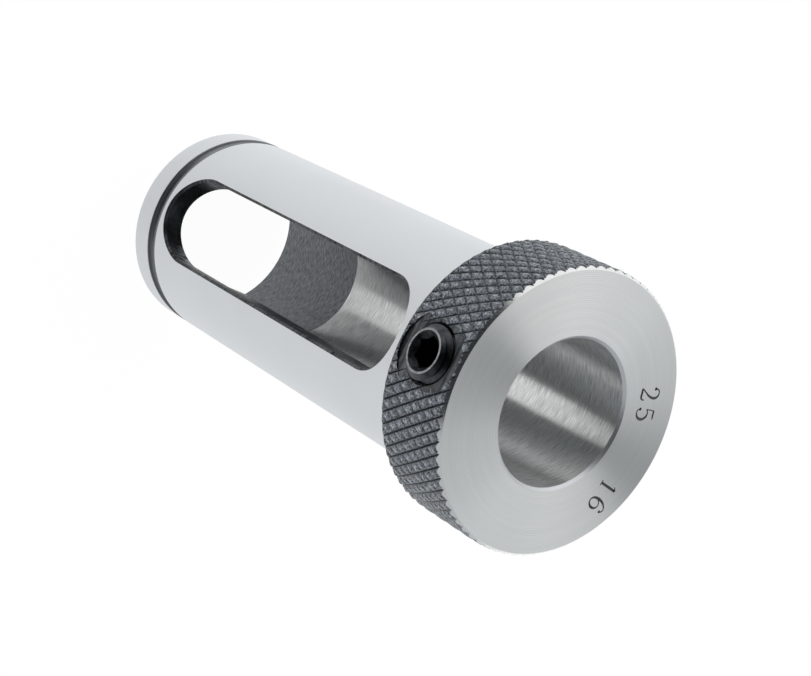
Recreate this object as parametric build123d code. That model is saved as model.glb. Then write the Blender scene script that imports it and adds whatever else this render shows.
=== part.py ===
from build123d import *
import math
import os

# Reducing sleeve: a turned bush that lets a round tool shank of the bore's size sit in a larger holder.
# Millimetres. The sleeve stands on its rear end: Z = 0 is the rear face and +Z runs up to the head.
# The window, the clamp screw and its spot face all look towards -Y.

# Shank and head
shank_diameter = 25.0
shank_length = 60.0
rear_edge_chamfer = 0.8
head_diameter = 31.0
head_length = 10.0
head_edge_chamfer = 0.45

# Bore: ground from the front face, and relieved behind that so that only the ground length guides
bore_diameter = 16.0
bore_length = 50.0
bore_edge_chamfer = 0.35
relief_diameter = 20.0
relief_mouth_chamfer = 0.8

# Diamond knurl on the head, with its points on the head diameter. A whole number of diamonds goes
# round the head and of half diamonds up it, so the true pitches are the nearest that fit.
knurl_depth = 0.4
knurl_pitch_around = 1.35
knurl_half_diamond_height = 1.11

# Groove round the shank near its rear end
groove_width = 1.7
groove_depth = 0.8
groove_bottom_radius = 0.6
groove_from_rear = 4.1

# Window milled through one wall of the shank
window_width = 10.8
window_length = 49.6
window_from_head = 3.8

# Clamp screw, a socket set screw with a cup point, and its seat in the head. It reaches from just
# outside the bore to just above the knurl.
screw_diameter = 6.0
screw_clearance = 0.05
screw_tip_setback = 0.1
screw_top_above_knurl = 0.6
screw_top_chamfer = 0.65
screw_tip_diameter = 4.0
screw_cup_diameter = 3.0
screw_cup_angle = 120.0
socket_across_flats = 3.0
socket_depth = 3.2
socket_mouth_diameter = 3.9
spot_face_diameter = 9.0
spot_face_depth = 0.45

total_length = shank_length + head_length
shank_radius = shank_diameter / 2
head_radius = head_diameter / 2
bore_radius = bore_diameter / 2
relief_radius = relief_diameter / 2
relief_length = total_length - bore_length
screw_height = shank_length + head_length / 2
screw_tip_reach = bore_radius + screw_tip_setback
screw_length = head_radius + screw_top_above_knurl - screw_tip_reach
spot_face_reach = head_radius - spot_face_depth
knurl_points_around = round(math.pi * head_diameter / knurl_pitch_around)
knurl_rows = round(head_length / knurl_half_diamond_height)

# The knurled band reaches this far in, well under its grooves, and joins the head's core there
core_radius = head_radius - 2 * knurl_depth

# How far tools run past a face, so that no cut ends level with it
overrun = 1.0


def revolved(points):
    """Turn a closed outline of (radius, height) points about the sleeve's axis, from the window's side."""
    outline = Polyline(*[(0, -radius, height) for radius, height in points], close=True)
    return revolve(make_face(outline), Axis.Z)


def radial_plane(reach, height):
    """A plane square to -Y at this distance from the axis, with its normal pointing outwards."""
    return Plane(origin=(0, -reach, height), x_dir=(1, 0, 0), z_dir=(0, -1, 0))


def turned_blank():
    """Shank and the head's core with the bore, the relief and their chamfers."""
    return revolved(
        [
            (relief_radius + relief_mouth_chamfer, 0),
            (shank_radius - rear_edge_chamfer, 0),
            (shank_radius, rear_edge_chamfer),
            (shank_radius, shank_length),
            (core_radius, shank_length),
            (core_radius, total_length),
            (bore_radius + bore_edge_chamfer, total_length),
            (bore_radius, total_length - bore_edge_chamfer),
            (bore_radius, relief_length),
            (relief_radius, relief_length),
            (relief_radius, relief_mouth_chamfer),
        ]
    )


def knurl_node(row, step, low_radius, high_radius):
    """Corner of the knurl: every second one around a row is a point, the others lie in the grooves."""
    is_point = (row + step) % 2 == 1
    radius = high_radius if is_point else low_radius
    angle = math.pi * step / knurl_points_around
    height = shank_length + head_length * row / knurl_rows
    return (radius * math.cos(angle), radius * math.sin(angle), height)


def knurl_prism():
    """The knurled head as a solid of flat facets: four to each diamond, and a flat polygon at each end."""
    low = head_radius - knurl_depth
    steps = 2 * knurl_points_around

    def node(row, step):
        return knurl_node(row, step % steps, low, head_radius)

    def facet(*corners):
        return Face(Wire.make_polygon(corners, close=True))

    facets = [facet(*[node(row, step) for step in range(steps)]) for row in (0, knurl_rows)]
    for row in range(knurl_rows + 1):
        for step in range(steps):
            if (row + step) % 2 == 0:
                continue
            point = node(row, step)
            before = node(row, step - 1)
            after = node(row, step + 1)
            if row > 0:
                below = node(row - 1, step)
                facets.append(facet(point, before, below))
                facets.append(facet(point, below, after))
            if row < knurl_rows:
                above = node(row + 1, step)
                facets.append(facet(point, above, before))
                facets.append(facet(point, after, above))
    return Solid(Shell(facets))


def knurl_band():
    """The knurl with its ends chamfered, hollow inside so that it joins the turned core."""
    front_face_radius = head_radius - head_edge_chamfer
    envelope = revolved(
        [
            (core_radius, shank_length),
            (front_face_radius, shank_length),
            (head_radius + overrun, shank_length + head_edge_chamfer + overrun),
            (head_radius + overrun, total_length - head_edge_chamfer - overrun),
            (front_face_radius, total_length),
            (core_radius, total_length),
        ]
    )
    return knurl_prism() & envelope


def shank_groove():
    """The ring that the grooving tool removes, with a rounded bottom."""
    bottom = shank_radius - groove_depth
    top = shank_radius + overrun
    middle = groove_from_rear + groove_width / 2
    with BuildSketch(Plane.XZ) as section:
        with Locations(((bottom + top) / 2, middle)):
            Rectangle(top - bottom, groove_width)
        inner_corners = section.vertices().sort_by(Axis.X)[:2]
        fillet(inner_corners, groove_bottom_radius)
    return revolve(section.sketch, Axis.Z)


def window():
    """The end-milled slot through the wall on the -Y side."""
    height = shank_length - window_from_head - window_length / 2
    outline = radial_plane(0, height) * SlotOverall(window_length, window_width, rotation=90)
    return extrude(outline, shank_radius + overrun)


def screw_seat():
    """The screw hole from the bore out through the head, and the spot face round its mouth."""
    hole = radial_plane(0, screw_height) * Circle(screw_diameter / 2 + screw_clearance)
    spot = radial_plane(spot_face_reach, screw_height) * Circle(spot_face_diameter / 2)
    return extrude(hole, head_radius + overrun) + extrude(spot, spot_face_depth + overrun)


def sleeve():
    """The whole sleeve, one turned, milled and knurled piece."""
    return turned_blank() - shank_groove() - window() + knurl_band() - screw_seat()


def clamp_screw():
    """Set screw with its cup point towards the bore and its hexagon socket outwards."""
    radius = screw_diameter / 2
    tip_radius = screw_tip_diameter / 2
    cup_radius = screw_cup_diameter / 2
    cup_depth = cup_radius / math.tan(math.radians(screw_cup_angle / 2))
    outline = Polyline(
        (0, cup_depth),
        (cup_radius, 0),
        (tip_radius, 0),
        (radius, radius - tip_radius),
        (radius, screw_length - screw_top_chamfer),
        (radius - screw_top_chamfer, screw_length),
        (0, screw_length),
        close=True,
    )
    body = revolve(make_face(Plane.XZ * outline), Axis.Z)
    corner_radius = socket_across_flats / 2 / math.cos(math.pi / 6)
    mouth_radius = socket_mouth_diameter / 2
    socket = extrude(
        Plane.XY.offset(screw_length - socket_depth) * RegularPolygon(corner_radius, 6),
        socket_depth + overrun,
    )
    mouth = revolve(
        make_face(
            Plane.XZ
            * Polyline(
                (0, screw_length - mouth_radius),
                (mouth_radius + overrun, screw_length + overrun),
                (0, screw_length + overrun),
                close=True,
            )
        ),
        Axis.Z,
    )
    upright = body - socket - mouth
    return radial_plane(screw_tip_reach, screw_height).location * upright


os.makedirs("parts", exist_ok=True)
export_step(sleeve(), "parts/sleeve.step")
export_step(clamp_screw(), "parts/clamp_screw.step")
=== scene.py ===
import bmesh
import bpy
from math import atan2, cos, hypot, pi, radians, sqrt
from mathutils import Matrix, Vector


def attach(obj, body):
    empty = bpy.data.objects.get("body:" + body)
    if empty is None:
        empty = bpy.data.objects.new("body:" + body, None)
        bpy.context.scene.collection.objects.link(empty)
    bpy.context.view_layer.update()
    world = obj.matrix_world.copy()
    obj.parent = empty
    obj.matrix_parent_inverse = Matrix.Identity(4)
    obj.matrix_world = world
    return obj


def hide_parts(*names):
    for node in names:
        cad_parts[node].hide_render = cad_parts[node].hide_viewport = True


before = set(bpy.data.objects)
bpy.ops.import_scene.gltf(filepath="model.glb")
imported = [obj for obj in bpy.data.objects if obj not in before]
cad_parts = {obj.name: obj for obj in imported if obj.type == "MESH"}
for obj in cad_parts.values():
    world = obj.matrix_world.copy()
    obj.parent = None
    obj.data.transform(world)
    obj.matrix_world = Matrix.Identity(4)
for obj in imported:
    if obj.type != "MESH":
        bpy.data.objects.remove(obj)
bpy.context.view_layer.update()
print("frame loaded:", ", ".join(sorted(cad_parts)))

# Every piece is modelled in millimetres, standing on its rear end, and brought to metres when it is done.
millimetre = 0.001

# Tolerances for finding corners and faces again, in millimetres, and the upward part of a level face's normal
sameHeight = 0.001
sameRadius = 0.01
sameCorner = 0.0001
levelNormal = 0.99

# Camera where the photograph was taken from, with its left to right and its upwards directions

camera = {
    "place": (-8.82, -132.95, 199.25),
    "rightwards": (-0.43320, 0.69989, 0.56788),
    "upwards": (-0.90005, -0.30271, -0.31350),
    "lens": 81.91,
    "sensor": 36.0,
}

cameraData = bpy.data.cameras.new("photoCamera")
cameraData.lens = camera["lens"]
cameraData.sensor_width = camera["sensor"]
cameraData.clip_start = 0.005
cameraData.clip_end = 20
photoCamera = bpy.data.objects.new("photoCamera", cameraData)
bpy.context.scene.collection.objects.link(photoCamera)
rightwards = Vector(camera["rightwards"]).normalized()
upwards = Vector(camera["upwards"])
backwards = rightwards.cross(upwards).normalized()
upwards = backwards.cross(rightwards)
photoCamera.matrix_world = (
    Matrix.Translation(Vector(camera["place"]) * millimetre)
    @ Matrix((rightwards, upwards, backwards)).transposed().to_4x4()
)
bpy.context.scene.camera = photoCamera
bpy.context.scene.view_settings.view_transform = "Standard"
print("camera placed")


# Small helpers for work in edit mode

def closeMesh():
    if bpy.context.mode != "OBJECT":
        bpy.ops.object.mode_set(mode="OBJECT")
    bpy.ops.object.select_all(action="DESELECT")


def makeActive(piece):
    closeMesh()
    piece.select_set(True)
    bpy.context.view_layer.objects.active = piece


def openMesh(piece):
    makeActive(piece)
    bpy.ops.object.mode_set(mode="EDIT")
    bpy.ops.mesh.select_mode(type="VERT")
    bpy.ops.mesh.select_all(action="DESELECT")


def fromAxis(place):
    return hypot(place.x, place.y)


def pickCorners(piece, rule):
    bpy.ops.mesh.select_mode(type="VERT")
    bpy.ops.mesh.select_all(action="DESELECT")
    mesh = bmesh.from_edit_mesh(piece.data)
    for corner in mesh.verts:
        corner.select_set(rule(corner.co))
    mesh.select_flush(True)
    bmesh.update_edit_mesh(piece.data)


def pickEdges(piece, rule):
    bpy.ops.mesh.select_mode(type="EDGE")
    bpy.ops.mesh.select_all(action="DESELECT")
    mesh = bmesh.from_edit_mesh(piece.data)
    for edge in mesh.edges:
        edge.select_set(rule(edge))
    bmesh.update_edit_mesh(piece.data)


def newCircle(name, corners, radius, place, turn=(0, 0, 0), filled=True):
    closeMesh()
    bpy.ops.mesh.primitive_circle_add(
        vertices=corners,
        radius=radius,
        fill_type="NGON" if filled else "NOTHING",
        location=place,
        rotation=turn,
    )
    piece = bpy.context.object
    piece.name = name
    bpy.ops.object.transform_apply(location=True, rotation=True, scale=True)
    openMesh(piece)
    bpy.ops.mesh.select_all(action="SELECT")
    return piece


def extrudeBy(move):
    bpy.ops.mesh.extrude_region_move(TRANSFORM_OT_translate={"value": move})


def turnOutline(name, corners, outline, closed=True):
    # An outline of (radius, height) pairs turned about the upright axis, ring by ring
    radius, height = outline[0]
    piece = newCircle(name, corners, radius, (0, 0, height), filled=False)
    for nextRadius, nextHeight in outline[1:] + (outline[:1] if closed else []):
        extrudeBy((0, 0, nextHeight - height))
        share = nextRadius / radius
        bpy.ops.transform.resize(value=(share, share, 1), center_override=(0, 0, nextHeight))
        radius, height = nextRadius, nextHeight
    if closed:
        bpy.ops.mesh.select_all(action="SELECT")
        bpy.ops.mesh.remove_doubles(threshold=sameCorner)
    return piece


def faceOutwards():
    bpy.ops.mesh.select_all(action="SELECT")
    bpy.ops.mesh.normals_make_consistent(inside=False)


def bevelRings(piece, rings, width, steps):
    # Rings are (radius, height) pairs
    def onRing(place, radius, height):
        return abs(fromAxis(place) - radius) < sameRadius and abs(place.z - height) < sameHeight

    def isPicked(edge):
        return any(all(onRing(corner.co, *ring) for corner in edge.verts) for ring in rings)

    pickEdges(piece, isPicked)
    bpy.ops.mesh.bevel(offset=width, offset_type="OFFSET", segments=steps, affect="EDGES", profile=0.5)


def giveFinish(piece, finish, rule=None):
    # The finish goes to the faces whose middle and normal meet the rule, or to all of them
    if piece.data.materials.find(finish.name) < 0:
        piece.data.materials.append(finish)
    index = piece.data.materials.find(finish.name)
    for face in piece.data.polygons:
        if rule is None or rule(face.center, face.normal):
            face.material_index = index


def cutWith(piece, tool, operation="DIFFERENCE", crossing=False):
    # Crossing is for pieces whose own surfaces run through each other
    makeActive(piece)
    cut = piece.modifiers.new("cut", "BOOLEAN")
    cut.solver = "EXACT"
    cut.operation = operation
    cut.material_mode = "TRANSFER"
    cut.use_self = crossing
    cut.object = tool
    bpy.ops.object.modifier_apply(modifier=cut.name)
    bpy.data.objects.remove(tool)


def toMetres(piece):
    makeActive(piece)
    piece.scale = (millimetre, millimetre, millimetre)
    bpy.ops.object.transform_apply(location=False, rotation=False, scale=True)
    bpy.ops.object.shade_smooth_by_angle(angle=radians(30))
    mesh = bmesh.new()
    mesh.from_mesh(piece.data)
    openEdges = sum(1 for edge in mesh.edges if len(edge.link_faces) != 2)
    mesh.free()
    triangles = sum(len(face.vertices) - 2 for face in piece.data.polygons)
    print(f"{piece.name}: {triangles} triangles, {openEdges} open edges")


# Finishes. Lengths in their patterns are in metres, read from Object coordinates. In the looks:
# tones: colours where the pattern is weak and where it is strong
# contrast: strengths of the pattern at which the first tone ends and the second is full
# haze, grain: size of an even noise, and its detail and roughness
# marks: length, width and detail of a noise drawn out in one direction
# glossMap: two strengths of the pattern and the roughness at each
# bump: height and strength of the bump

def addNode(finish, kind, **settings):
    node = finish.node_tree.nodes.new(kind)
    for setting, value in settings.items():
        setattr(node, setting, value)
    return node


def join(finish, output, target):
    finish.node_tree.links.new(output, target)


def newFinish(name, look):
    finish = bpy.data.materials.new(name)
    finish.use_nodes = True
    shader = finish.node_tree.nodes["Principled BSDF"]
    shader.inputs["Metallic"].default_value = 1.0
    shader.inputs["Roughness"].default_value = look["roughness"]
    if "anisotropic" in look:
        # A quarter turn blurs reflections along the axis, across marks that run round it
        shader.inputs["Anisotropic"].default_value = look["anisotropic"]
        shader.inputs["Anisotropic Rotation"].default_value = 0.25
        tangent = addNode(finish, "ShaderNodeTangent", direction_type="RADIAL", axis="Z")
        join(finish, tangent.outputs["Tangent"], shader.inputs["Tangent"])
    return finish


def mathOf(finish, operation, first, second=None):
    node = addNode(finish, "ShaderNodeMath", operation=operation)
    for index, value in enumerate((first, second)):
        if value is None:
            continue
        if isinstance(value, (int, float)):
            node.inputs[index].default_value = value
        else:
            join(finish, value, node.inputs[index])
    return node.outputs[0]


def plus(finish, first, second):
    return mathOf(finish, "ADD", first, second)


def times(finish, first, second):
    return mathOf(finish, "MULTIPLY", first, second)


def objectPlace(finish):
    return addNode(finish, "ShaderNodeTexCoord").outputs["Object"]


def roundTheAxis(finish):
    # A point's angle and arc round the axis, its height and its radius. The angle jumps on the window's side.
    parts = addNode(finish, "ShaderNodeSeparateXYZ")
    join(finish, objectPlace(finish), parts.inputs[0])
    x, y, height = parts.outputs
    angle = mathOf(finish, "ARCTAN2", x, y)
    radius = mathOf(finish, "SQRT", plus(finish, times(finish, x, x), times(finish, y, y)))
    return {"angle": angle, "arc": times(finish, angle, radius), "height": height, "radius": radius}


def cloud(finish, size, detail=3.0, roughness=0.5):
    noise = addNode(finish, "ShaderNodeTexNoise")
    noise.inputs["Scale"].default_value = 1 / size
    noise.inputs["Detail"].default_value = detail
    noise.inputs["Roughness"].default_value = roughness
    join(finish, objectPlace(finish), noise.inputs["Vector"])
    return noise.outputs["Fac"]


def scratches(finish, along, across, length, width, detail=2.0):
    parts = addNode(finish, "ShaderNodeCombineXYZ")
    join(finish, mathOf(finish, "DIVIDE", along, length), parts.inputs[0])
    join(finish, mathOf(finish, "DIVIDE", across, width), parts.inputs[1])
    noise = addNode(finish, "ShaderNodeTexNoise")
    noise.inputs["Scale"].default_value = 1
    noise.inputs["Detail"].default_value = detail
    join(finish, parts.outputs[0], noise.inputs["Vector"])
    return noise.outputs["Fac"]


def ramp(finish, value, stops):
    # Stops are (position, grey or colour)
    node = addNode(finish, "ShaderNodeValToRGB")
    elements = node.color_ramp.elements
    while len(elements) < len(stops):
        elements.new(0.5)
    for element, (position, colour) in zip(elements, stops):
        element.position = position
        if isinstance(colour, (int, float)):
            colour = (colour, colour, colour)
        element.color = (*colour, 1)
    join(finish, value, node.inputs["Fac"])
    return node.outputs["Color"]


def sharpen(finish, value, low, high):
    return ramp(finish, value, ((low, 0.0), (high, 1.0)))


def mixColours(finish, share, first, second, blend="MIX"):
    node = addNode(finish, "ShaderNodeMix", data_type="RGBA", blend_type=blend)
    for socket, value in ((node.inputs[0], share), (node.inputs[6], first), (node.inputs[7], second)):
        if isinstance(value, (int, float)):
            socket.default_value = value
        elif isinstance(value, tuple):
            socket.default_value = (*value, 1)
        else:
            join(finish, value, socket)
    return node.outputs[2]


def mapRange(finish, value, low, high, toLow=0.0, toHigh=1.0):
    node = addNode(finish, "ShaderNodeMapRange")
    for name, number in (("From Min", low), ("From Max", high), ("To Min", toLow), ("To Max", toHigh)):
        node.inputs[name].default_value = number
    join(finish, value, node.inputs["Value"])
    return node.outputs["Result"]


def setInput(finish, name, value):
    join(finish, value, finish.node_tree.nodes["Principled BSDF"].inputs[name])


def raiseBy(finish, height, distance, strength):
    node = addNode(finish, "ShaderNodeBump")
    node.inputs["Distance"].default_value = distance
    node.inputs["Strength"].default_value = strength
    join(finish, height, node.inputs["Height"])
    setInput(finish, "Normal", node.outputs["Normal"])


# Ground outside of the shank: fine marks round the part and a very slight cloud

groundLook = {
    "tones": ((0.76, 0.782, 0.798), (0.72, 0.742, 0.76)),
    "roughness": 0.42,
    "anisotropic": 0.8,
    "haze": (0.009,),
    "marks": (0.012, 0.00005),
    "markGreys": ((0.3, 0.75), (0.7, 1.0)),
    "markShare": 0.06,
    "glossMap": (0.3, 0.7, 0.39, 0.45),
    "bump": (0.0000002, 0.3),
}


def makeGroundSteel(look):
    finish = newFinish("groundSteel", look)
    point = roundTheAxis(finish)
    marks = scratches(finish, point["arc"], point["height"], *look["marks"])
    tone = mixColours(finish, cloud(finish, *look["haze"]), *look["tones"])
    greys = ramp(finish, marks, look["markGreys"])
    setInput(finish, "Base Color", mixColours(finish, look["markShare"], tone, greys, "MULTIPLY"))
    setInput(finish, "Roughness", mapRange(finish, marks, *look["glossMap"]))
    raiseBy(finish, marks, *look["bump"])
    return finish


# Turned front face: concentric tool marks, uneven along their way round

faceLook = {
    "tones": ((0.94, 0.96, 0.95), (0.84, 0.865, 0.86)),
    "roughness": 0.33,
    "anisotropic": 1.0,
    "ringStep": 0.00019,
    "ringGreys": ((0.0, 0.78), (0.6, 1.0)),
    "ringShare": 0.5,
    "ringHeight": 0.6,
    "arcRadius": 0.012,
    "marks": (0.02, 0.0005),
    "bump": (0.000003, 0.6),
}


def makeTurnedFace(look):
    finish = newFinish("turnedFace", look)
    point = roundTheAxis(finish)
    wave = addNode(finish, "ShaderNodeTexWave", wave_type="RINGS", rings_direction="Z", wave_profile="SIN")
    # The node takes every length 20 times
    wave.inputs["Scale"].default_value = 2 * pi / (20 * look["ringStep"])
    join(finish, objectPlace(finish), wave.inputs["Vector"])
    rings = wave.outputs["Fac"]
    along = times(finish, point["angle"], look["arcRadius"])
    uneven = scratches(finish, along, point["radius"], *look["marks"])
    tone = mixColours(finish, uneven, *look["tones"])
    greys = ramp(finish, rings, look["ringGreys"])
    setInput(finish, "Base Color", mixColours(finish, look["ringShare"], tone, greys, "MULTIPLY"))
    raiseBy(finish, plus(finish, times(finish, rings, look["ringHeight"]), uneven), *look["bump"])
    return finish


# Black oxide on the knurl, rubbed lighter on its points and dark in its grooves

knurlLook = {
    "groove": (0.030, 0.033, 0.038),
    "flank": (0.15, 0.165, 0.185),
    "point": (0.26, 0.28, 0.30),
    "grooveRadius": 0.01523,
    "flankRadius": 0.01540,
    "pointRadius": 0.01549,
    "rubbedFrom": 0.86,
    "roughness": 0.38,
    "grain": (0.00022, 3.0, 0.7),
    "grainGreys": ((0.36, 0.30), (0.50, 0.9), (0.66, 2.3)),
    "grainShare": 0.9,
    "glossMap": (0.3, 0.7, 0.46, 0.30),
    "bump": (0.00005, 0.7),
}


def makeKnurlOxide(look):
    finish = newFinish("knurlOxide", look)
    point = roundTheAxis(finish)
    low, high = look["grooveRadius"], look["pointRadius"]
    tone = ramp(finish, mapRange(finish, point["radius"], low, high), (
        (0.0, look["groove"]),
        ((look["flankRadius"] - low) / (high - low), look["flank"]),
        (look["rubbedFrom"], look["flank"]),
        (1.0, look["point"]),
    ))
    grain = cloud(finish, *look["grain"])
    greys = ramp(finish, grain, look["grainGreys"])
    setInput(finish, "Base Color", mixColours(finish, look["grainShare"], tone, greys, "MULTIPLY"))
    setInput(finish, "Roughness", mapRange(finish, grain, *look["glossMap"]))
    raiseBy(finish, grain, *look["bump"])
    return finish


# Ground bore: brush marks round it, slightly slanted

boreLook = {
    "tones": ((0.56, 0.575, 0.575), (0.93, 0.945, 0.94)),
    "contrast": (0.36, 0.62),
    "roughness": 0.30,
    "anisotropic": 1.0,
    "slant": 0.06,
    "marks": (0.0016, 0.00008),
    "glossMap": (0.3, 0.7, 0.33, 0.27),
    "bump": (0.000001, 0.6),
}


def makeBoreSteel(look):
    finish = newFinish("boreSteel", look)
    point = roundTheAxis(finish)
    across = plus(finish, point["height"], times(finish, point["arc"], look["slant"]))
    marks = scratches(finish, point["arc"], across, *look["marks"])
    share = sharpen(finish, marks, *look["contrast"])
    setInput(finish, "Base Color", mixColours(finish, share, *look["tones"]))
    setInput(finish, "Roughness", mapRange(finish, marks, *look["glossMap"]))
    raiseBy(finish, marks, *look["bump"])
    return finish


# Relief bore: rough bored, with scratches across each other. Its tones are painted far darker than bored
# steel: painted shade inside the tube.

reliefLook = {
    # Dark tones: painted shade inside the tube, under the scratches
    "tones": ((0.067, 0.072, 0.078), (0.215, 0.224, 0.238)),
    "contrast": (0.38, 0.62),
    "roughness": 0.42,
    "anisotropic": 0.4,
    "rise": 0.55,
    "fall": 0.12,
    "crossingMarks": (0.0004, 0.00012, 4.0),
    "roundMarks": (0.0009, 0.00010, 4.0),
    "glossMap": (0.35, 0.65, 0.5, 0.34),
    "bump": (0.00001, 0.6),
}


def makeReliefSteel(look):
    finish = newFinish("reliefSteel", look)
    point = roundTheAxis(finish)
    rising = plus(finish, point["height"], times(finish, point["arc"], look["rise"]))
    falling = mathOf(finish, "SUBTRACT", point["height"], times(finish, point["arc"], look["fall"]))
    crossing = scratches(finish, rising, falling, *look["crossingMarks"])
    ringing = scratches(finish, point["arc"], point["height"], *look["roundMarks"])
    marks = times(finish, plus(finish, crossing, ringing), 0.5)
    share = sharpen(finish, marks, *look["contrast"])
    setInput(finish, "Base Color", mixColours(finish, share, *look["tones"]))
    setInput(finish, "Roughness", mapRange(finish, marks, *look["glossMap"]))
    raiseBy(finish, marks, *look["bump"])
    return finish


# Wall of the window and seat of the screw: milled, then blackened. On the window's right side and towards
# the rear, the edge at the relief bore is torn into a burr, painted as a bright, dull, unmetallic patch: a
# painted highlight.

milledLook = {
    "tones": ((0.028, 0.030, 0.033), (0.13, 0.137, 0.145)),
    "contrast": (0.38, 0.60),
    "roughness": 0.55,
    "marks": (0.004, 0.0005, 3.0),
    "haze": (0.0022, 4.0, 0.6),
    "glossMap": (0.35, 0.65, 0.65, 0.42),
    "bump": (0.00008, 0.7),
    # Colour of the painted highlight on the torn burr, and where it lies
    "burrHighlight": (0.90, 0.91, 0.92),
    "burrHighlightRadii": (0.0111, 0.0102),
    "burrHighlightSides": (0.0034, 0.0044),
    "burrHighlightHeights": (0.025, 0.019),
    "burrHighlightMarks": (0.0016, 0.0004, 4.0),
    "burrHighlightContrast": (0.38, 0.62),
}


def makeMilledWall(look):
    finish = newFinish("milledWall", look)
    point = roundTheAxis(finish)
    radius, height = point["radius"], point["height"]
    chatter = scratches(finish, radius, height, *look["marks"])
    marks = times(finish, plus(finish, chatter, cloud(finish, *look["haze"])), 0.5)
    tone = ramp(finish, marks, tuple(zip(look["contrast"], look["tones"])))
    onEdge = mapRange(finish, radius, *look["burrHighlightRadii"])
    rightwards = times(finish, radius, mathOf(finish, "SINE", point["angle"]))
    onRight = mapRange(finish, rightwards, *look["burrHighlightSides"])
    nearRear = mapRange(finish, height, *look["burrHighlightHeights"])
    torn = sharpen(finish, scratches(finish, radius, height, *look["burrHighlightMarks"]), *look["burrHighlightContrast"])
    # Mask of the torn burr and its painted highlight: bright, dull and not metallic where it is strong
    burrHighlight = times(finish, times(finish, onEdge, onRight), times(finish, nearRear, torn))
    setInput(finish, "Base Color", mixColours(finish, burrHighlight, tone, look["burrHighlight"]))
    setInput(finish, "Metallic", mapRange(finish, burrHighlight, 0, 1, 1, 0))
    setInput(finish, "Roughness", mapRange(finish, marks, *look["glossMap"]))
    raiseBy(finish, marks, *look["bump"])
    return finish


# Groove round the shank, with the marks of the grooving tool

grooveLook = {
    "tones": ((0.20, 0.21, 0.22), (0.36, 0.375, 0.39)),
    "roughness": 0.40,
    "anisotropic": 0.5,
    "marks": (0.005, 0.00008),
    "bump": (0.000003, 0.5),
}


def makeGrooveSteel(look):
    finish = newFinish("grooveSteel", look)
    point = roundTheAxis(finish)
    marks = scratches(finish, point["arc"], point["height"], *look["marks"])
    setInput(finish, "Base Color", mixColours(finish, marks, *look["tones"]))
    raiseBy(finish, marks, *look["bump"])
    return finish


# Black oxide of the clamp screw: satin, with a slight cloud

screwLook = {
    "tones": ((0.030, 0.032, 0.036), (0.075, 0.079, 0.085)),
    "contrast": (0.35, 0.65),
    "roughness": 0.33,
    "haze": (0.0012, 4.0, 0.6),
    "grain": (0.00016, 2.0),
    "glossMap": (0.3, 0.7, 0.27, 0.42),
    "bump": (0.00001, 0.35),
}


def makeScrewOxide(look):
    finish = newFinish("screwOxide", look)
    haze = cloud(finish, *look["haze"])
    grain = cloud(finish, *look["grain"])
    share = sharpen(finish, haze, *look["contrast"])
    setInput(finish, "Base Color", mixColours(finish, share, *look["tones"]))
    setInput(finish, "Roughness", mapRange(finish, grain, *look["glossMap"]))
    raiseBy(finish, grain, *look["bump"])
    return finish


# Finishes that are only grained: the key socket, blackened and left dull, the rim round it, painted lighter
# as a painted highlight, the head's chamfers, turned bright after the knurl was rolled, and the bottom of the
# numbers

grainedLooks = {
    "socketOxide": {
        "tones": ((0.010, 0.011, 0.013), (0.045, 0.048, 0.052)),
        "contrast": (0.35, 0.65),
        "roughness": 0.5,
        "grain": (0.0006, 3.0, 0.6),
        "bump": (0.00001, 0.4),
    },
    # Lighter tones of the screw's top rim: a painted highlight
    "paintedHighlightRim": {
        "tones": ((0.17, 0.175, 0.18), (0.32, 0.33, 0.34)),
        "contrast": (0.35, 0.65),
        "roughness": 0.34,
        "grain": (0.0003, 3.0, 0.6),
        "bump": (0.00001, 0.4),
    },
    "brightEdge": {
        "tones": ((0.90, 0.91, 0.91), (0.78, 0.80, 0.80)),
        "roughness": 0.2,
        "grain": (0.0006, 2.0),
        "bump": (0.00001, 0.3),
    },
    "engraving": {
        "tones": ((0.07, 0.072, 0.072), (0.20, 0.205, 0.205)),
        "roughness": 0.5,
        "grain": (0.00012,),
        "bump": (0.00001, 0.5),
    },
}


def makeGrained(name):
    look = grainedLooks[name]
    finish = newFinish(name, look)
    grain = cloud(finish, *look["grain"])
    share = sharpen(finish, grain, *look["contrast"]) if "contrast" in look else grain
    setInput(finish, "Base Color", mixColours(finish, share, *look["tones"]))
    raiseBy(finish, grain, *look["bump"])
    return finish


socketOxide = makeGrained("socketOxide")
paintedHighlightRim = makeGrained("paintedHighlightRim")
groundSteel = makeGroundSteel(groundLook)
turnedFace = makeTurnedFace(faceLook)
brightEdge = makeGrained("brightEdge")
knurlOxide = makeKnurlOxide(knurlLook)
boreSteel = makeBoreSteel(boreLook)
reliefSteel = makeReliefSteel(reliefLook)
milledWall = makeMilledWall(milledLook)
grooveSteel = makeGrooveSteel(grooveLook)
engraving = makeGrained("engraving")
screwOxide = makeScrewOxide(screwLook)
print("finishes made")


# Sleeve: turned ring by ring, then knurled, chamfered, milled and drilled

sleeve = {
    "corners": 576,  # eight to each diamond of the knurl
    "shankRadius": 12.5,
    "shankLength": 60.0,
    "rearChamfer": 0.8,
    "headRadius": 15.5,
    "length": 70.0,
    "boreRadius": 8.0,
    "boreChamfer": 0.30,
    "reliefRadius": 10.0,
    "reliefLength": 20.0,
    "grooveTop": 5.8,
    "grooveBottom": 4.1,
    "grooveRadius": 11.7,
    "grooveCorner": 0.6,
    "grooveCornerSteps": 6,
    "edgeBreak": 0.08,
}
headLength = sleeve["length"] - sleeve["shankLength"]

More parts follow.
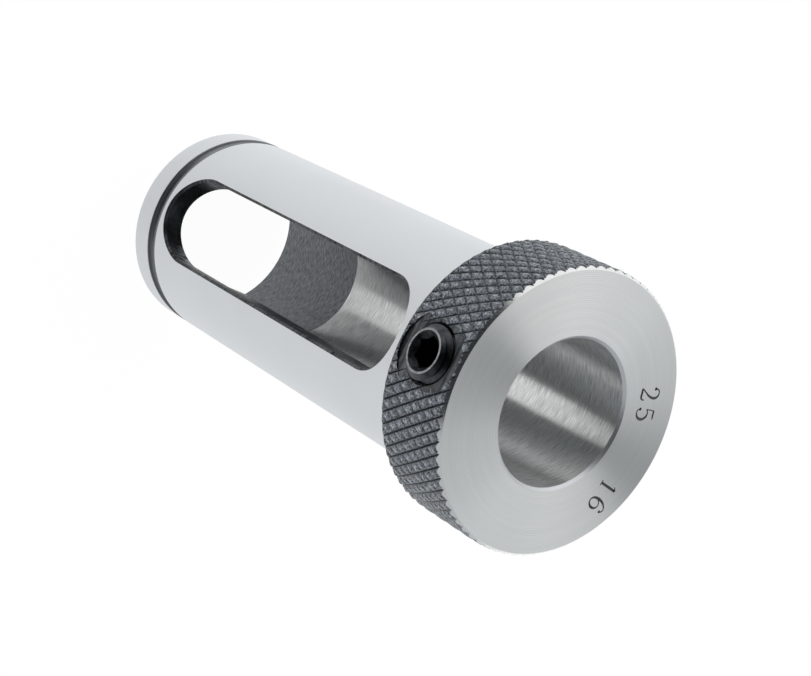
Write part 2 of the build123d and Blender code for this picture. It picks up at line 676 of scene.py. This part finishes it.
rings = [
    (sleeve["boreRadius"] + sleeve["boreChamfer"], sleeve["length"]),
    (sleeve["headRadius"], sleeve["length"]),
    (sleeve["headRadius"], sleeve["shankLength"]),
    (sleeve["shankRadius"], sleeve["shankLength"]),
    (sleeve["shankRadius"], sleeve["grooveTop"]),
    (sleeve["grooveRadius"], sleeve["grooveTop"]),
    (sleeve["grooveRadius"], sleeve["grooveBottom"]),
    (sleeve["shankRadius"], sleeve["grooveBottom"]),
    (sleeve["shankRadius"], sleeve["rearChamfer"]),
    (sleeve["shankRadius"] - sleeve["rearChamfer"], 0),
    (sleeve["reliefRadius"] + sleeve["rearChamfer"], 0),
    (sleeve["reliefRadius"], sleeve["rearChamfer"]),
    (sleeve["reliefRadius"], sleeve["reliefLength"]),
    (sleeve["boreRadius"], sleeve["reliefLength"]),
    (sleeve["boreRadius"], sleeve["length"] - sleeve["boreChamfer"]),
]
groundSleeve = turnOutline("groundSleeve", sleeve["corners"], rings)
grooveBottomRings = rings[5:7]
grooveEdgeRings = [rings[4], rings[7]]
reliefEdgeRing = rings[13]
bevelRings(groundSleeve, grooveBottomRings, sleeve["grooveCorner"], sleeve["grooveCornerSteps"])
bevelRings(groundSleeve, grooveEdgeRings, sleeve["edgeBreak"], 1)
bevelRings(groundSleeve, [reliefEdgeRing], 2 * sleeve["edgeBreak"], 1)
faceOutwards()
print("sleeve turned")

# Knurl: the head's outside is divided into rows, and each level of the diamonds is drawn in towards the axis.
# Two sets of grooves cross each other. One of them was rolled a little shallower.

knurl = {
    "pointsAround": 72,
    "halfRows": 9,
    "stepsToPoint": 4,
    "pointRadius": 15.49,
    "depths": (0.27, 0.20),
    "profile": (1.0, 0.46, 0.17, 0.05, 0.0),  # share of the depth, step by step from a groove up to a point
    "within": (14.9, 15.6),  # radii between which only the knurl lies
}


def atHead(place):
    return sleeve["shankLength"] - sameHeight < place.z < sleeve["length"] + sameHeight


def onHead(place):
    return abs(fromAxis(place) - sleeve["headRadius"]) < sameRadius and atHead(place)


def onKnurl(place):
    return knurl["within"][0] < fromAxis(place) < knurl["within"][1] and atHead(place)


def knurlRadius(place):
    around = atan2(place.y, place.x) / pi * knurl["pointsAround"]
    up = (place.z - sleeve["shankLength"]) / headLength * knurl["halfRows"]
    sunk = 0
    for along, depth in zip((around + up, around - up), knurl["depths"]):
        step = round((1 - abs(along % 2 - 1)) * knurl["stepsToPoint"])
        sunk = max(sunk, depth * knurl["profile"][step])
    return round(knurl["pointRadius"] - sunk, 3)


def isUprightOnHead(edge):
    return all(onHead(corner.co) for corner in edge.verts) and edge.calc_length() > headLength / 2


pickEdges(groundSleeve, isUprightOnHead)
bpy.ops.mesh.subdivide(number_cuts=knurl["halfRows"] * knurl["stepsToPoint"] - 1)
bpy.ops.mesh.select_mode(type="VERT")
onLevels = {}
mesh = bmesh.from_edit_mesh(groundSleeve.data)
for corner in mesh.verts:
    if onHead(corner.co):
        onLevels.setdefault(knurlRadius(corner.co), set()).add(corner.index)
for level, indices in sorted(onLevels.items()):
    mesh = bmesh.from_edit_mesh(groundSleeve.data)
    for corner in mesh.verts:
        corner.select_set(corner.index in indices)
    mesh.select_flush(True)
    bmesh.update_edit_mesh(groundSleeve.data)
    share = level / sleeve["headRadius"]
    bpy.ops.transform.resize(value=(share, share, 1), center_override=(0, 0, sleeve["length"]))

pickCorners(groundSleeve, onKnurl)
bpy.ops.mesh.quads_convert_to_tris(quad_method="SHORTEST_DIAGONAL", ngon_method="BEAUTY")
closeMesh()
print("head knurled:", {level: len(indices) for level, indices in sorted(onLevels.items())})

# Finishes of the turned faces, told apart by a face's middle and normal

nearFace = 0.05


def isTurnedEnd(place, normal):
    # The front face, the head's back and the rear face
    isAtEnd = place.z > sleeve["shankLength"] - nearFace or place.z < nearFace
    return isAtEnd and abs(normal.z) > levelNormal


def isKnurled(place, normal):
    return onKnurl(place) and abs(normal.z) < 0.9


def isBore(place, normal):
    chamferStart = sleeve["length"] - sleeve["boreChamfer"]
    return fromAxis(place) < sleeve["boreRadius"] + nearFace and place.z < chamferStart


def isRelief(place, normal):
    return fromAxis(place) < sleeve["reliefRadius"] + nearFace and place.z < sleeve["reliefLength"] + nearFace


def isGroove(place, normal):
    # With its broken edges
    outermost = sleeve["shankRadius"] - sleeve["edgeBreak"] / 4
    isInside = sleeve["grooveRadius"] - nearFace < fromAxis(place) < outermost
    return isInside and sleeve["grooveBottom"] - nearFace < place.z < sleeve["grooveTop"] + nearFace


giveFinish(groundSleeve, groundSteel)
giveFinish(groundSleeve, turnedFace, isTurnedEnd)
giveFinish(groundSleeve, knurlOxide, isKnurled)
giveFinish(groundSleeve, boreSteel, isBore)
giveFinish(groundSleeve, reliefSteel, isRelief)
giveFinish(groundSleeve, grooveSteel, isGroove)
print("turned faces finished")

# Chamfers at both ends of the head, cut through the knurl

headChamfer = {"width": 0.38, "corners": 500, "inwards": 0.5, "reach": 0.8}


def chamferTool(height, upwards):
    # Ring whose inner cone leaves the chamfer
    radius = sleeve["headRadius"] - headChamfer["width"]
    inwards = headChamfer["inwards"]
    reach = headChamfer["reach"]
    outline = [
        (radius - inwards, height + inwards * upwards),
        (radius + reach, height - reach * upwards),
        (radius + reach, height + inwards * upwards),
    ]
    tool = turnOutline("chamferTool", headChamfer["corners"], outline)
    faceOutwards()
    closeMesh()
    giveFinish(tool, brightEdge)
    return tool


cutWith(groundSleeve, chamferTool(sleeve["length"], 1))
cutWith(groundSleeve, chamferTool(sleeve["shankLength"], -1))
print("head chamfered")

# Window through the wall, with its outer edge just broken

window = {"width": 10.3, "rearEnd": 6.85, "length": 49.0, "corners": 96, "edgeBreak": 0.32, "reach": 15}


def windowTool():
    halfWidth = window["width"] / 2
    lower = window["rearEnd"] + halfWidth
    upper = window["rearEnd"] + window["length"] - halfWidth
    halfStep = pi / window["corners"]
    tool = newCircle("windowTool", window["corners"], halfWidth, (0, 0, lower), (pi / 2, halfStep, 0))
    pickCorners(tool, lambda place: place.z > lower)
    bpy.ops.transform.translate(value=(0, 0, upper - lower))
    bpy.ops.mesh.select_all(action="SELECT")

    def fitRing(radius, widening):
        # The picked ring is widened all round and laid on a cylinder about the axis
        mesh = bmesh.from_edit_mesh(tool.data)
        for corner in mesh.verts:
            if corner.select:
                middle = upper if corner.co.z > (lower + upper) / 2 else lower
                share = 1 + widening / halfWidth
                corner.co.x *= share
                corner.co.z = middle + (corner.co.z - middle) * share
                corner.co.y = -sqrt(radius ** 2 - corner.co.x ** 2)
        bmesh.update_edit_mesh(tool.data)

    # The first two rings are fitted to their cylinders, and the last one is laid flat outside of the shank
    extrudeBy((0, -10, 0))
    fitRing(sleeve["shankRadius"] - window["edgeBreak"], 0)
    extrudeBy((0, -0.1, 0))
    fitRing(sleeve["shankRadius"] + window["edgeBreak"], 2 * window["edgeBreak"])
    extrudeBy((0, -4, 0))
    bpy.ops.transform.resize(value=(1, 0, 1), center_override=(0, -window["reach"], 0))
    faceOutwards()
    closeMesh()
    giveFinish(tool, milledWall)
    return tool


cutWith(groundSleeve, windowTool())
print("window milled")

# Screw hole and the flat spot face round it

screwSeat = {
    "height": 65.0,
    "holeRadius": 3.05,
    "mouthRadius": 3.3,
    "spotRadius": 4.5,
    "spotReach": 15.05,
    "startReach": 5.5,
    "overshoot": 2,
    "corners": 96,
}


def seatTool():
    centre = (0, 0, screwSeat["height"])
    start = (0, -screwSeat["startReach"], screwSeat["height"])
    tool = newCircle("seatTool", screwSeat["corners"], screwSeat["holeRadius"], start, (pi / 2, 0, 0))
    countersink = screwSeat["mouthRadius"] - screwSeat["holeRadius"]
    extrudeBy((0, screwSeat["startReach"] - screwSeat["spotReach"] + countersink, 0))
    extrudeBy((0, -countersink, 0))
    share = screwSeat["mouthRadius"] / screwSeat["holeRadius"]
    bpy.ops.transform.resize(value=(share, 1, share), center_override=centre)
    extrudeBy((0, 0, 0))
    share = screwSeat["spotRadius"] / screwSeat["mouthRadius"]
    bpy.ops.transform.resize(value=(share, 1, share), center_override=centre)
    extrudeBy((0, -screwSeat["overshoot"], 0))
    faceOutwards()
    closeMesh()
    giveFinish(tool, milledWall)
    return tool


cutWith(groundSleeve, seatTool())
print("screw seat cut")

# Plain size numbers engraved in the front face: the shank's and the bore's diameter.
# Each stroke is a path of (across, up, half width), in shares of a digit's height.

numbers = {"digitHeight": 2.6, "middle": (0.3, 0.5)}

digitStrokes = {
    "1": [
        [(0.29, 0.04, 0.055), (0.30, 0.50, 0.058), (0.31, 0.94, 0.055)],
        [(0.16, 0.83, 0.022), (0.24, 0.90, 0.030), (0.31, 0.96, 0.034)],
        [(0.17, 0.02, 0.024), (0.41, 0.02, 0.024)],
    ],
    "2": [
        [(0.10, 0.76, 0.030), (0.16, 0.93, 0.030), (0.31, 0.99, 0.030), (0.47, 0.89, 0.050),
         (0.50, 0.73, 0.058), (0.42, 0.50, 0.045), (0.22, 0.24, 0.030), (0.06, 0.06, 0.026)],
        [(0.07, 0.05, 0.050), (0.25, 0.05, 0.052), (0.44, 0.04, 0.050), (0.52, 0.09, 0.036),
         (0.56, 0.22, 0.022)],
    ],
    "5": [
        [(0.15, 0.95, 0.042), (0.32, 0.95, 0.044), (0.50, 0.97, 0.030)],
        [(0.14, 0.96, 0.024), (0.12, 0.74, 0.022), (0.10, 0.53, 0.024)],
        [(0.10, 0.52, 0.024), (0.20, 0.60, 0.030), (0.34, 0.61, 0.040), (0.48, 0.50, 0.054),
         (0.53, 0.32, 0.060), (0.46, 0.12, 0.050), (0.30, 0.02, 0.032), (0.17, 0.04, 0.028),
         (0.10, 0.14, 0.028)],
    ],
    "6": [
        [(0.47, 0.86, 0.028), (0.42, 0.94, 0.030), (0.30, 0.97, 0.028), (0.15, 0.83, 0.040),
         (0.07, 0.58, 0.056), (0.07, 0.30, 0.060), (0.15, 0.09, 0.046), (0.29, 0.02, 0.028),
         (0.44, 0.10, 0.044), (0.51, 0.28, 0.060), (0.46, 0.48, 0.046), (0.33, 0.57, 0.028),
         (0.18, 0.52, 0.026), (0.09, 0.38, 0.030)],
    ],
}

# Round ends of strokes: (across, up, radius)
digitBalls = {"2": (0.11, 0.77, 0.068), "5": (0.11, 0.16, 0.066), "6": (0.47, 0.84, 0.064)}

# Digit, place of its middle on the face and the direction of its top, in degrees from +X
digitPlaces = [
    ("2", (-5.52, 10.18), 110.0),
    ("5", (-3.37, 10.82), 103.5),
    ("1", (5.14, 10.71), 82.0),
    ("6", (7.30, 10.28), 79.0),
]


def onDigit(across, up):
    middleAcross, middleUp = numbers["middle"]
    return ((across - middleAcross) * numbers["digitHeight"], (up - middleUp) * numbers["digitHeight"], 0)


def strokeTool(path):
    # One stroke as a round tube whose thickness follows the path
    stroke = bpy.data.curves.new("strokeTool", "CURVE")
    stroke.dimensions = "3D"
    stroke.bevel_depth = numbers["digitHeight"]
    stroke.bevel_resolution = 3
    stroke.use_fill_caps = True
    stroke.resolution_u = 6
    line = stroke.splines.new("BEZIER")
    line.bezier_points.add(len(path) - 1)
    for point, (across, up, halfWidth) in zip(line.bezier_points, path):
        point.co = onDigit(across, up)
        point.handle_left_type = point.handle_right_type = "AUTO"
        point.radius = halfWidth
    tool = bpy.data.objects.new("strokeTool", stroke)
    bpy.context.scene.collection.objects.link(tool)
    makeActive(tool)
    bpy.ops.object.convert(target="MESH")
    tool = bpy.context.object
    openMesh(tool)
    bpy.ops.mesh.select_all(action="SELECT")
    bpy.ops.mesh.remove_doubles(threshold=sameCorner)
    faceOutwards()
    closeMesh()
    tool.data.materials.clear()
    giveFinish(tool, engraving)
    return tool


def ballTool(across, up, radius):
    closeMesh()
    bpy.ops.mesh.primitive_uv_sphere_add(
        segments=20,
        ring_count=11,
        radius=radius * numbers["digitHeight"],
        location=onDigit(across, up),
    )
    ball = bpy.context.object
    bpy.ops.object.transform_apply(location=True, rotation=True, scale=True)
    giveFinish(ball, engraving)
    return ball


def digitTool(digit, middle, topDirection):
    tool, *others = [strokeTool(path) for path in digitStrokes[digit]]
    if digit in digitBalls:
        others.append(ballTool(*digitBalls[digit]))
    for other in others:
        cutWith(tool, other, "UNION", crossing=True)
    makeActive(tool)
    tool.location = (*middle, sleeve["length"])
    tool.rotation_euler = (0, 0, radians(topDirection - 90))
    bpy.ops.object.transform_apply(location=True, rotation=True, scale=True)
    return tool


digitTools = [digitTool(*digitPlace) for digitPlace in digitPlaces]
closeMesh()
for tool in digitTools:
    tool.select_set(True)
bpy.context.view_layer.objects.active = digitTools[0]
bpy.ops.object.join()
cutWith(groundSleeve, digitTools[0])
print("numbers engraved")
toMetres(groundSleeve)

# Clamp screw: a thread wound up from one turn's outline, trimmed to a set screw and broached for its key

clampScrew = {
    "crestRadius": 3.0,
    "crestRounding": 0.03,
    "rootRadius": 2.39,
    "pitch": 1.0,
    "turns": 12,
    "turnsBelow": 2,
    "stepsPerTurn": 72,
    "length": 8.0,
    "topChamfer": 0.65,
    "tipRadius": 2.0,
    "cupRadius": 1.5,
    "cupDepth": 0.866,
    "socketFlats": 3.0,
    "socketDepth": 3.2,
    "drillInset": 0.25,  # end of the hole that was drilled before the key's hexagon was pressed in
    "drillDepth": 0.35,
    "drillShare": 0.2,
    "mouthRadius": 2.12,
    "tipReach": 8.1,
    "height": 65.0,
    "corners": 96,
}


def isOpen(edge, isEnd):
    return len(edge.link_faces) == 1 and all(isEnd(corner.co) for corner in edge.verts)


def windThread():
    root, crest, pitch = clampScrew["rootRadius"], clampScrew["crestRadius"], clampScrew["pitch"]
    shoulder = crest - clampScrew["crestRounding"]
    # One turn from root to root, as radius and share of the pitch
    turn = [
        (root, 0.0),
        (root, 0.16),
        (shoulder, 0.49),
        (crest, 0.53),
        (crest, 0.63),
        (shoulder, 0.67),
        (root, 1.0),
    ]
    closeMesh()
    bpy.ops.mesh.primitive_plane_add(size=0.1, location=(root, 0, -clampScrew["turnsBelow"] * pitch))
    piece = bpy.context.object
    piece.name = "socketScrew"
    bpy.ops.object.transform_apply(location=True, rotation=True, scale=True)
    openMesh(piece)
    bpy.ops.mesh.select_all(action="SELECT")
    bpy.ops.mesh.merge(type="CENTER")
    for start, end in zip(turn, turn[1:]):
        move = (end[0] - start[0], 0, (end[1] - start[1]) * pitch)
        bpy.ops.mesh.extrude_vertices_move(TRANSFORM_OT_translate={"value": move})
    makeActive(piece)
    wind = piece.modifiers.new("wind", "SCREW")
    wind.axis = "Z"
    wind.screw_offset = pitch
    wind.iterations = clampScrew["turns"]
    wind.steps = wind.render_steps = clampScrew["stepsPerTurn"]
    wind.use_merge_vertices = True
    wind.merge_threshold = sameCorner
    bpy.ops.object.modifier_apply(modifier=wind.name)
    openMesh(piece)
    bpy.ops.mesh.select_all(action="SELECT")
    bpy.ops.mesh.remove_doubles(threshold=sameCorner)
    middle = clampScrew["length"] / 2
    for isEnd in (lambda place: place.z < middle, lambda place: place.z > middle):
        pickEdges(piece, lambda edge: isOpen(edge, isEnd))
        extrudeBy((0, 0, 0))
        bpy.ops.mesh.select_mode(type="VERT")
        bpy.ops.mesh.merge(type="CENTER")
    faceOutwards()
    closeMesh()
    return piece


def isInCup(place):
    return abs(place.z) < sameHeight and fromAxis(place) < clampScrew["cupRadius"] + sameHeight


def screwEnvelope():
    # The screw's outline without its socket, wider than the thread between its two chamfers
    over = 0.2
    wide = clampScrew["crestRadius"] + over
    tipRise = wide - clampScrew["tipRadius"]
    length = clampScrew["length"]
    topRadius = clampScrew["crestRadius"] - clampScrew["topChamfer"]
    outline = [
        (clampScrew["cupRadius"], 0),
        (clampScrew["tipRadius"], 0),
        (wide, tipRise),
        (wide, length - (wide - topRadius)),
        (topRadius, length),
    ]
    tool = turnOutline("screwEnvelope", clampScrew["corners"], outline, closed=False)
    bpy.ops.mesh.edge_face_add()
    pickCorners(tool, isInCup)
    extrudeBy((0, 0, clampScrew["cupDepth"]))
    bpy.ops.mesh.merge(type="CENTER")
    faceOutwards()
    closeMesh()
    giveFinish(tool, screwOxide)
    return tool


def socketTool():
    over = 1
    corner = clampScrew["socketFlats"] / 2 / cos(pi / 6)
    bottom = clampScrew["length"] - clampScrew["socketDepth"]
    tool = newCircle("socketTool", 6, corner, (0, 0, bottom), (0, 0, pi / 6))
    extrudeBy((0, 0, clampScrew["socketDepth"] + over))
    pickCorners(tool, lambda place: place.z < bottom + sameHeight)
    bpy.ops.mesh.select_mode(type="FACE")
    bpy.ops.mesh.inset(thickness=clampScrew["drillInset"])
    bpy.ops.transform.translate(value=(0, 0, -clampScrew["drillDepth"]))
    share = clampScrew["drillShare"]
    bpy.ops.transform.resize(value=(share, share, 1), center_override=(0, 0, bottom))
    faceOutwards()
    closeMesh()
    giveFinish(tool, socketOxide)
    return tool


def mouthTool():
    over = 1.0
    radius = clampScrew["mouthRadius"] + over
    tool = newCircle("mouthTool", clampScrew["corners"], radius, (0, 0, clampScrew["length"] + over))
    extrudeBy((0, 0, -clampScrew["mouthRadius"] - over))
    bpy.ops.mesh.merge(type="CENTER")
    faceOutwards()
    closeMesh()
    giveFinish(tool, socketOxide)
    return tool


def isScrewTop(place, normal):
    return normal.z > levelNormal and place.z > clampScrew["length"] - sameRadius


socketScrew = windThread()
giveFinish(socketScrew, screwOxide)
cutWith(socketScrew, screwEnvelope(), "INTERSECT")
cutWith(socketScrew, socketTool())
cutWith(socketScrew, mouthTool())
# The screw's flat top rim gets the painted highlight
giveFinish(socketScrew, paintedHighlightRim, isScrewTop)
openMesh(socketScrew)
bpy.ops.mesh.select_all(action="SELECT")
bpy.ops.transform.rotate(value=-pi / 2, orient_axis="X", center_override=(0, 0, 0))
bpy.ops.transform.translate(value=(0, -clampScrew["tipReach"], clampScrew["height"]))
toMetres(socketScrew)
print("clamp screw made")

# Floor under the rear end: plain white to the camera and in reflections, with the sleeve's soft shadow

stage = {"size": 6.0, "glow": 0.97, "albedo": 0.06, "diffuse": 0.8}

closeMesh()
bpy.ops.mesh.primitive_plane_add(size=stage["size"], location=(0, 0, 0))
floor = bpy.context.object
floor.name = "floor"
floorFinish = bpy.data.materials.new("whiteFloor")
floorFinish.use_nodes = True
floorNodes = floorFinish.node_tree.nodes
floorNodes.remove(floorNodes["Principled BSDF"])
rays = addNode(floorFinish, "ShaderNodeLightPath").outputs
seen = mathOf(floorFinish, "MAXIMUM", rays["Is Camera Ray"], rays["Is Transmission Ray"])
seen = mathOf(floorFinish, "MAXIMUM", seen, rays["Is Glossy Ray"])
glow = addNode(floorFinish, "ShaderNodeEmission")
glow.inputs["Color"].default_value = (1, 1, 1, 1)
glow.inputs["Strength"].default_value = stage["glow"]
paint = addNode(floorFinish, "ShaderNodeBsdfDiffuse")
paint.inputs["Color"].default_value = (stage["albedo"], stage["albedo"], stage["albedo"], 1)
shown = addNode(floorFinish, "ShaderNodeAddShader")
join(floorFinish, glow.outputs[0], shown.inputs[0])
join(floorFinish, paint.outputs[0], shown.inputs[1])
plain = addNode(floorFinish, "ShaderNodeBsdfDiffuse")
plain.inputs["Color"].default_value = (stage["diffuse"], stage["diffuse"], stage["diffuse"], 1)
either = addNode(floorFinish, "ShaderNodeMixShader")
join(floorFinish, seen, either.inputs[0])
join(floorFinish, plain.outputs[0], either.inputs[1])
join(floorFinish, shown.outputs[0], either.inputs[2])
join(floorFinish, either.outputs[0], floorNodes["Material Output"].inputs["Surface"])
floor.data.materials.append(floorFinish)

# World: a studio with a bright wall on the left, a greyer one on the right, a darker strip between them
# overhead and a dark corner on the window's side. Where the camera looks past the floor it is white.

studio = {
    "strip": (0.39, 0.40, 0.405),
    "left": (0.97, 0.97, 0.97),
    "right": (0.50, 0.51, 0.525),
    "edges": (-0.25, -0.19, -0.01, 0.05),  # left wall's end, the strip's two ends, right wall's start
    "lean": -0.27,
}
darkCorner = {"tone": (0.03, 0.032, 0.035), "towards": (-0.10, -0.76, 0.64), "inner": 0.82, "outer": 0.71}

world = bpy.data.worlds.new("studio")
bpy.context.scene.world = world
world.use_nodes = True
worldNodes = world.node_tree.nodes
room = worldNodes["Background"]
direction = addNode(world, "ShaderNodeTexCoord").outputs["Generated"]
directionParts = addNode(world, "ShaderNodeSeparateXYZ")
join(world, direction, directionParts.inputs[0])
leaning = times(world, directionParts.outputs[1], studio["lean"])
acrossStrip = plus(world, directionParts.outputs[0], leaning)
wallTones = (studio["left"], studio["strip"], studio["strip"], studio["right"])
wallStops = tuple(((edge + 1) / 2, tone) for edge, tone in zip(studio["edges"], wallTones))
walls = ramp(world, mapRange(world, acrossStrip, -1, 1), wallStops)
cornerAim = addNode(world, "ShaderNodeVectorMath", operation="DOT_PRODUCT")
cornerAim.inputs[1].default_value = darkCorner["towards"]
join(world, direction, cornerAim.inputs[0])
inCorner = mapRange(world, cornerAim.outputs["Value"], darkCorner["outer"], darkCorner["inner"])
join(world, mixColours(world, inCorner, walls, darkCorner["tone"]), room.inputs["Color"])
backdrop = addNode(world, "ShaderNodeBackground")
backdrop.inputs["Color"].default_value = (1, 1, 1, 1)
backdrop.inputs["Strength"].default_value = 1.0
worldRays = addNode(world, "ShaderNodeLightPath")
worldMix = addNode(world, "ShaderNodeMixShader")
join(world, worldRays.outputs["Is Camera Ray"], worldMix.inputs[0])
join(world, room.outputs[0], worldMix.inputs[1])
join(world, backdrop.outputs[0], worldMix.inputs[2])
join(world, worldMix.outputs[0], worldNodes["World Output"].inputs["Surface"])

# Soft boxes: name, place, size across and up, and power in watts. All face the sleeve.

lampAim = Vector((0, 0, 0.04))
softBoxes = [
    ("keyBox", (-0.50, 0.30, 0.50), (0.5, 0.5), 0.15),
    ("fillBox", (0.55, 0.45, 0.50), (0.4, 0.4), 0.1),
]


def placeSoftBox(name, place, size, power):
    lamp = bpy.data.lights.new(name, "AREA")
    lamp.shape = "RECTANGLE"
    lamp.size, lamp.size_y = size
    lamp.energy = power
    box = bpy.data.objects.new(name, lamp)
    bpy.context.scene.collection.objects.link(box)
    box.location = place
    box.rotation_euler = (lampAim - Vector(place)).to_track_quat("-Z", "Y").to_euler()


for name, place, size, power in softBoxes:
    placeSoftBox(name, place, size, power)
print("stage lit")

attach(groundSleeve, "sleeve")
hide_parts("sleeve")
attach(socketScrew, "clamp_screw")
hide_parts("clamp_screw")
